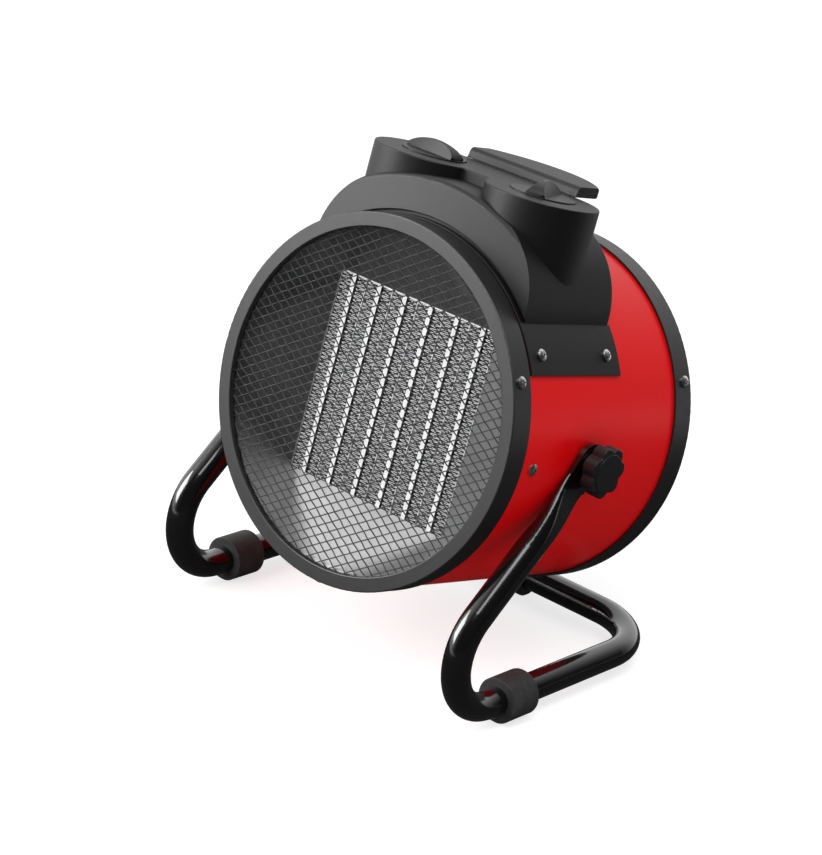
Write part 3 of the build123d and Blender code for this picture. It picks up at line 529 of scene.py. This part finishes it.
# ---- the wire guards --------------------------------------------------------------------
def woven_guard(depth):
    """Two families of wires, woven over and under, inside a circle"""
    s = sizes()
    slope, pitch = s.mesh_angle, s.mesh_pitch
    side = pitch / math.sin(2 * slope)      # of one diamond between the wires
    rows = int(s.mesh_reach / pitch)
    parts = []
    for family in (1, -1):
        along = Vector((math.cos(slope), 0, family * math.sin(slope)))
        square = Vector((-family * math.sin(slope), 0, math.cos(slope)))
        for row in range(-rows, rows + 1):
            offset = row * pitch
            half_wire = math.sqrt(max(s.mesh_reach ** 2 - offset ** 2, 0))
            if half_wire < pitch:
                continue
            start = -offset / math.tan(2 * slope) * family
            first = math.ceil((-half_wire - start) / side * 2)
            last = math.floor((half_wire - start) / side * 2)
            points = []
            for k in range(first, last + 1):
                spot = along * (start + k * side / 2) + square * offset
                over = math.cos(math.pi * (k / 2 + row)) if k % 2 == 0 else 0.0
                lift = depth + family * over * s.mesh_wire * WEAVE_LIFT
                points.append(in_drum(spot.x, lift, spot.z))
            parts.append(rod(points, s.mesh_wire / 2, rearward))
    return join(parts)


class HEATER_OT_guards(bpy.types.Operator):
    """Weave the front and rear wire guards"""
    bl_idname = "heater.guards"
    bl_label = "Wire guards"

    def execute(self, context):
        finish = wire_paint()
        for node in ("front_grille", "rear_grille"):
            low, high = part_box(node)
            middle = ((low + high) / 2 - front_centre).dot(rearward)
            name = node.replace("grille", "guard")
            add_piece(name, *woven_guard(middle), finish, "mesh", node)
        return {"FINISHED"}


# ---- the element ------------------------------------------------------------------------
def ribbon(left, right, low, high, front, back):
    """A pleated foil between two uprights, as a closed strip with a thickness"""
    s = sizes()
    middle = (left + right) / 2
    reach = (right - left) / 2 - s.foil * PLEAT_ROOM
    count = int((high - low) / s.pleat_pitch) * PLEAT_STEPS
    line = []
    for k in range(count + 1):
        wave = PLEAT_FLAT * math.sin(2 * math.pi * k / PLEAT_STEPS + PLEAT_START)
        x = middle + reach * max(-1.0, min(1.0, wave))
        line.append(Vector((x, 0, low + (high - low) * k / count)))
    verts = []
    for k, p in enumerate(line):
        run = (line[min(k + 1, count)] - line[max(k - 1, 0)]).normalized()
        half = Vector((-run.z, 0, run.x)) * (s.foil / 2)
        ring = ((p + half, front), (p - half, front), (p - half, back), (p + half, back))
        verts += [in_drum(q.x, y, q.z) for q, y in ring]
    return verts, tube_faces(count + 1, len(ring))


class HEATER_OT_element(bpy.types.Operator):
    """Pleat the fins between the ceramic strips"""
    bl_idname = "heater.element"
    bl_label = "Element"

    def execute(self, context):
        dress(ceramic(), "ceramic_strips")
        dress(seam_foil(), "core_spacers")
        dress(moulded("frame_black", NEAR_BLACK, rough=0.45), "heater_frame")
        strips, seams = from_drum("ceramic_strips"), from_drum("core_spacers")
        reach = [p.x for p in from_drum("heating_fins")]
        left_end, right_end = min(reach), max(reach)
        top = max(p.z for p in strips)
        front = min(p.y for p in strips)
        back = max(p.y for p in strips)
        # each strip or seam has a left and a right wall, and a column runs between two of them
        walls = sorted({round(p.x, MICRON_DIGITS) for p in strips + seams})
        columns = zip([left_end, *walls[1::2]], [*walls[0::2], right_end])
        fin_top = top - FOIL_CAP - FIN_GAP
        pieces = []
        for k, (left, right) in enumerate(columns):
            left += STRIP_SLOT if k % 2 else FIN_GAP
            right -= FIN_GAP
            if right - left < FIN_LEAST:
                continue
            pieces.append(ribbon(left, right, -top, fin_top, front + FIN_INSET, back))
            pieces.append(slab(left, right, top - FOIL_CAP, top, front, back))
        pieces.append(slab(left_end - FOIL_EDGE, left_end, -top, top, front, back))
        add_piece("fin_ribbons", *join(pieces), foil(), "fin_aluminium", "heating_fins")
        return {"FINISHED"}


# ---- painted and moulded pieces ---------------------------------------------------------
class HEATER_OT_drum(bpy.types.Operator):
    """Paint the drum, its trim rings and the duct"""
    bl_idname = "heater.drum"
    bl_label = "Drum and rings"

    def execute(self, context):
        ring = satin_black("ring_paint", tuple(colours().ring), rough=0.34)
        dress(gloss_red(), "body_shell")
        dress(ring, "front_ring", "rear_ring")
        dress(duct_sheet(), "air_duct")
        return {"FINISHED"}


class HEATER_OT_controls(bpy.types.Operator):
    """Finish the control housing, its lip and the dials"""
    bl_idname = "heater.controls"
    bl_label = "Controls"

    def execute(self, context):
        c = colours()
        housing = moulded("housing_plastic", tuple(c.housing), rough=0.46)
        dial = moulded("dial_plastic", tuple(c.dial), rough=0.40)
        gland = moulded("gland_plastic", tuple(c.knob), rough=0.45)
        dress(housing, "control_housing", "carry_handle")
        dress(dial, "selector_knob", "thermostat_knob")
        dress(gland, "cable_gland")
        return {"FINISHED"}


class HEATER_OT_stand(bpy.types.Operator):
    """Paint the stand and finish its sleeves and clamp knobs"""
    bl_idname = "heater.stand"
    bl_label = "Stand"

    def execute(self, context):
        star = moulded("star_plastic", tuple(colours().knob), rough=0.38)
        dress(gloss_black(), "stand_tube")
        dress(sleeve_rubber(), "foot_front_right", "foot_front_left", "foot_rear")
        dress(star, "clamp_knob_right", "clamp_knob_left")
        return {"FINISHED"}


class HEATER_OT_fasteners(bpy.types.Operator):
    """Plate the screws, studs, shafts and inserts, and blacken the washers"""
    bl_idname = "heater.fasteners"
    bl_label = "Fasteners"

    def execute(self, context):
        plated = bright_steel("screw_plating", PLATED, rough=0.22)
        steel = bright_steel("stud_steel", STEEL, rough=0.3)
        washer = satin_black("washer_black", NEAR_BLACK, rough=0.5)
        dress(plated, "ring_screws", "housing_screws", "side_screws", "pivot_inserts")
        dress(steel, "clamp_stud_right", "clamp_stud_left", "selector_shaft",
              "thermostat_shaft", "motor_shaft")
        dress(washer, "pivot_washers")
        return {"FINISHED"}


class HEATER_OT_inside(bpy.types.Operator):
    """Finish the fan, the motor and the parts under the housing"""
    bl_idname = "heater.inside"
    bl_label = "Inside"

    def execute(self, context):
        zinc = bright_steel("zinc_sheet", ZINC, rough=0.42, scratch=300)
        fan = bright_steel("fan_sheet", FAN_METAL, rough=0.38, scratch=500)
        cream = moulded("switch_plastic", SWITCH_CREAM, rough=0.4)
        dress(zinc, "motor_bracket", "core_brackets", "thermal_cutout", "motor_can")
        dress(fan, "fan_impeller")
        dress(cream, "selector_switch", "thermostat_body", "terminal_block")
        return {"FINISHED"}


# ---- floor, light and camera ------------------------------------------------------------
def soft_box(name, place, target, size, power, in_gloss=True, on_matt=True):
    """A square lamp that reflections, or matt surfaces, can be kept from seeing"""
    lamp = bpy.data.lights.new(name, "AREA")
    lamp.shape = "SQUARE"
    lamp.size = size
    lamp.energy = power
    made = bpy.data.objects.new(name, lamp)
    made.location = place
    made.rotation_mode = "QUATERNION"
    made.rotation_quaternion = (Vector(target) - Vector(place)).to_track_quat("-Z", "Y")
    made.visible_glossy = in_gloss
    made.visible_diffuse = on_matt
    bpy.context.scene.collection.objects.link(made)


def pale_floor():
    """Pale for the lamps, and white to the eye but for the object's shadow"""
    f = Finish("pale_floor")
    glossy = f.ray("Glossy")
    shown = (f.ray("Camera") + glossy + f.ray("Transmission")).clipped()
    toward = f.dot(f.place, OPEN_SIDE)
    away = f.node("ShaderNodeVectorMath", {"operation": "LENGTH"}, {0: f.place}, "Value")
    open_side = ((toward - FLOOR_EDGE) / FLOOR_FADE).clipped()
    # painted shade: to glossy rays the floor is dark near the object, as if in its shade, and
    # dark on the open side
    beyond_gloss_shade = ((away - FLOOR_NEAR) / FLOOR_FADE).clipped()
    gloss_shade_and_open_side = (1 - beyond_gloss_shade * (1 - open_side)) * glossy
    pale = f.mix(f.noise(scale=3, detail=2), FLOOR_LOW, FLOOR_HIGH)
    glow = f.mix(shown, (0.0, 0.0, 0.0), (FLOOR_WHITE,) * 3)
    f.set({"Base Color": f.mix(gloss_shade_and_open_side, pale, (ROOM_DARK,) * 3), "Specular IOR Level": 0.0})
    f.set({"Emission Color": f.mix(gloss_shade_and_open_side, glow, (ROOM_DARK,) * 3), "Emission Strength": 1.0})
    f.rough(least=0.75, spread=0.1, scale=50, detail=3)
    return f.material


def lit_world():
    """White behind the object and at its left, dark on the room's open side"""
    world = bpy.data.worlds.new("studio")
    world.use_nodes = True
    f = Finish.of_world(world)
    toward = f.dot(f.node("ShaderNodeTexCoord", {}, {}, "Generated"), OPEN_SIDE)
    wall = f.ramp(toward * 0.5 + 0.5, (WALL_WHITE, WORLD_SEEN), (WALL_DARK, ROOM_DARK))
    in_gloss = (f.ray("Glossy") + f.ray("Transmission")).clipped()
    plain = f.mix(f.ray("Camera"), (WORLD_LIGHT,) * 3, (WORLD_SEEN,) * 3)
    f.set({"Color": f.mix(in_gloss, plain, wall), "Strength": 1.0})
    bpy.context.scene.world = world


def photo_camera():
    """The camera as solved from the photograph"""
    lens = bpy.data.cameras.new("photo_camera")
    lens.sensor_width = SENSOR_MM
    lens.lens = FOCAL_PX / max(PHOTO_W, PHOTO_H) * SENSOR_MM
    lens.clip_start, lens.clip_end = CLIP_NEAR, CLIP_FAR
    cam = bpy.data.objects.new("photo_camera", lens)
    up = CAMERA_RIGHT.cross(LOOK)
    turn = Matrix((CAMERA_RIGHT, up, -LOOK)).transposed()
    cam.rotation_mode = "QUATERNION"
    cam.rotation_quaternion = turn.to_quaternion()
    cam.location = CAMERA_AT
    bpy.context.scene.collection.objects.link(cam)
    bpy.context.scene.camera = cam


class HEATER_OT_stage(bpy.types.Operator):
    """Set the floor, the soft light and the photograph's camera"""
    bl_idname = "heater.stage"
    bl_label = "Stage"

    def execute(self, context):
        context.scene.view_settings.view_transform = "Standard"
        mesh = bpy.data.meshes.new("floor")
        corners = [(-1, -1), (1, -1), (1, 1), (-1, 1)]
        points = [(x * FLOOR_REACH, y * FLOOR_REACH, 0) for x, y in corners]
        mesh.from_pydata(points, [], [(0, 1, 2, 3)])
        mesh.materials.append(pale_floor())
        floor = bpy.data.objects.new("floor", mesh)
        context.scene.collection.objects.link(floor)
        lit_world()
        soft_box("top_light", place=(0.45, -0.35, 1.75), target=(0, 0, 0.15), size=1.0,
                 power=12)
        soft_box("front_light", place=(-0.45, -1.9, 1.0), target=(0, 0, 0.15), size=1.0,
                 power=36, in_gloss=False)
        soft_box("left_light", place=(-1.45, -1.20, 0.90), target=(0, 0, 0.2), size=1.2,
                 power=42, on_matt=False)
        photo_camera()
        return {"FINISHED"}


# ---- panel and registration -------------------------------------------------------------
STEPS = (HEATER_OT_stage, HEATER_OT_drum, HEATER_OT_guards, HEATER_OT_element,
         HEATER_OT_controls, HEATER_OT_stand, HEATER_OT_fasteners, HEATER_OT_inside)


class HEATER_PT_panel(bpy.types.Panel):
    """Lists the heater's steps and settings"""
    bl_label = "Forced air heater"
    bl_idname = "HEATER_PT_panel"
    bl_space_type = "VIEW_3D"
    bl_region_type = "UI"
    bl_category = "Heater"

    def draw(self, context):
        for step in STEPS:
            self.layout.operator(step.bl_idname)
        for group in (context.scene.heater_sizes, context.scene.heater_colours):
            box = self.layout.box()
            for key in group.__annotations__:
                box.prop(group, key)


CLASSES = (HeaterSizes, HeaterColours, *STEPS, HEATER_PT_panel)


def register():
    for each in CLASSES:
        bpy.utils.register_class(each)
    bpy.types.Scene.heater_sizes = PointerProperty(type=HeaterSizes)
    bpy.types.Scene.heater_colours = PointerProperty(type=HeaterColours)


def unregister():
    del bpy.types.Scene.heater_colours
    del bpy.types.Scene.heater_sizes
    for each in reversed(CLASSES):
        bpy.utils.unregister_class(each)


def main():
    """Registers the add-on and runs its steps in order"""
    register()
    for step in STEPS:
        group, name = step.bl_idname.split(".")
        getattr(getattr(bpy.ops, group), name)()


if __name__ == "__main__":
    main()
